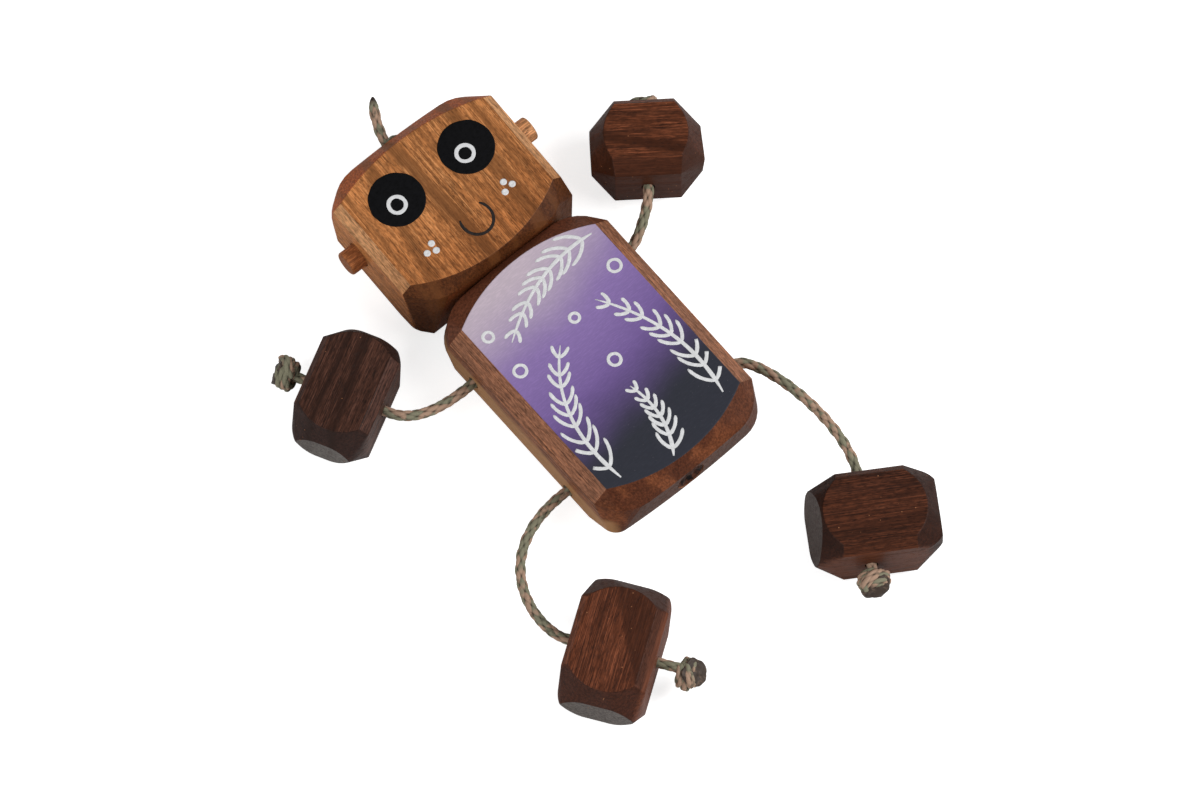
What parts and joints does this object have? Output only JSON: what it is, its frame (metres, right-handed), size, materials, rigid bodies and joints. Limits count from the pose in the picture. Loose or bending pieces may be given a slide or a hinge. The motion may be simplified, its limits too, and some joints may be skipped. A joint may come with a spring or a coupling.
{
  "type": "wooden robot toy",
  "caption": "Flat wooden robot doll: block head with dowel ears and cord tail, painted block body, and wooden hands and feet threaded on knotted cord.",
  "frame": {"origin": "centre of the body's flat back, on the surface that the toy lies on", "axes": "+Z out of the painted front, +Y towards the head, +X towards the toy's own left hand"},
  "size_m": [0.1581, 0.2204, 0.026],
  "materials": {
    "body_walnut": "oiled walnut, painted on its front face",
    "head_wood": "oiled brown wood",
    "peg_wood": "oiled dowel",
    "dark_walnut": "oiled dark walnut",
    "cord": "two-colour braided cord"
  },
  "bodies": {
    "body": {"body": "body_walnut", "neck_plug": "dark_walnut", "neck_knot_low": "cord", "neck_cord": "cord", "arm_cord_in_body": "cord", "leg_cord_in_body": "cord"},
    "head": {"head": "head_wood", "right_ear": "peg_wood", "left_ear": "peg_wood", "neck_knot_top": "cord", "antenna_cord": "cord"},
    "right_arm": {"right_arm_cord": "cord"},
    "right_hand_end": {"right_hand_cord": "cord", "right_hand_knot": "cord"},
    "right_hand": {"right_hand": "dark_walnut"},
    "left_arm": {"left_arm_cord": "cord"},
    "left_hand_end": {"left_hand_cord": "cord", "left_hand_knot": "cord"},
    "left_hand": {"left_hand": "dark_walnut"},
    "right_leg": {"right_leg_cord": "cord"},
    "right_foot_end": {"right_foot_cord": "cord", "right_foot_knot": "cord"},
    "right_foot": {"right_foot": "dark_walnut"},
    "left_leg": {"left_leg_cord": "cord"},
    "left_foot_end": {"left_foot_cord": "cord", "left_foot_knot": "cord"},
    "left_foot": {"left_foot": "dark_walnut"}
  },
  "joints": [
    {"name": "head_turn", "type": "hinge", "parent": "body", "child": "head", "pos_m": [-0.0017, 0.04395, 0.0144], "axis": [0.0314, 0.9995, 0], "continuous": true},
    {"name": "right_arm_swing", "type": "hinge", "parent": "body", "child": "right_arm", "pos_m": [-0.033, 0.02235, 0.0109], "axis": [0, 0, -1], "range_deg": [-60, 18]},
    {"name": "right_hand_twist", "type": "hinge", "parent": "right_arm", "child": "right_hand_end", "pos_m": [-0.0633, 0.04345, 0.01225], "axis": [-0.4587, 0.8886, 0], "continuous": true},
    {"name": "right_hand_slide", "type": "slide", "parent": "right_hand_end", "child": "right_hand", "axis": [-0.4587, 0.8886, 0], "range_m": [-0.003, 0.0035]},
    {"name": "left_arm_swing", "type": "hinge", "parent": "body", "child": "left_arm", "pos_m": [0.033, 0.02485, 0.0109], "axis": [0, 0, 1], "range_deg": [-75, 8]},
    {"name": "left_hand_twist", "type": "hinge", "parent": "left_arm", "child": "left_hand_end", "pos_m": [0.05627, 0.04505, 0.01301], "axis": [0.6027, 0.7911, -0.1045], "continuous": true},
    {"name": "left_hand_slide", "type": "slide", "parent": "left_hand_end", "child": "left_hand", "axis": [0.6027, 0.7911, -0.1045], "range_m": [-0.003, 0.0002]},
    {"name": "right_leg_swing", "type": "hinge", "parent": "body", "child": "right_leg", "pos_m": [-0.033, -0.02125, 0.0074], "axis": [0, 0, -1], "range_deg": [-14, 28]},
    {"name": "right_foot_twist", "type": "hinge", "parent": "right_leg", "child": "right_foot_end", "pos_m": [-0.055, -0.07105, 0.0127], "axis": [0.5621, -0.8271, 0], "continuous": true},
    {"name": "right_foot_slide", "type": "slide", "parent": "right_foot_end", "child": "right_foot", "axis": [0.5621, -0.8271, 0], "range_m": [-0.003, 0.0059]},
    {"name": "left_leg_swing", "type": "hinge", "parent": "body", "child": "left_leg", "pos_m": [0.033, -0.02285, 0.0074], "axis": [0, 0, 1], "range_deg": [-14, 45]},
    {"name": "left_foot_twist", "type": "hinge", "parent": "left_leg", "child": "left_foot_end", "pos_m": [0.02862, -0.08875, 0.0127], "axis": [-0.5344, -0.8453, 0], "continuous": true},
    {"name": "left_foot_slide", "type": "slide", "parent": "left_foot_end", "child": "left_foot", "axis": [-0.5344, -0.8453, 0], "range_m": [-0.003, 0.0012]}
  ]
}
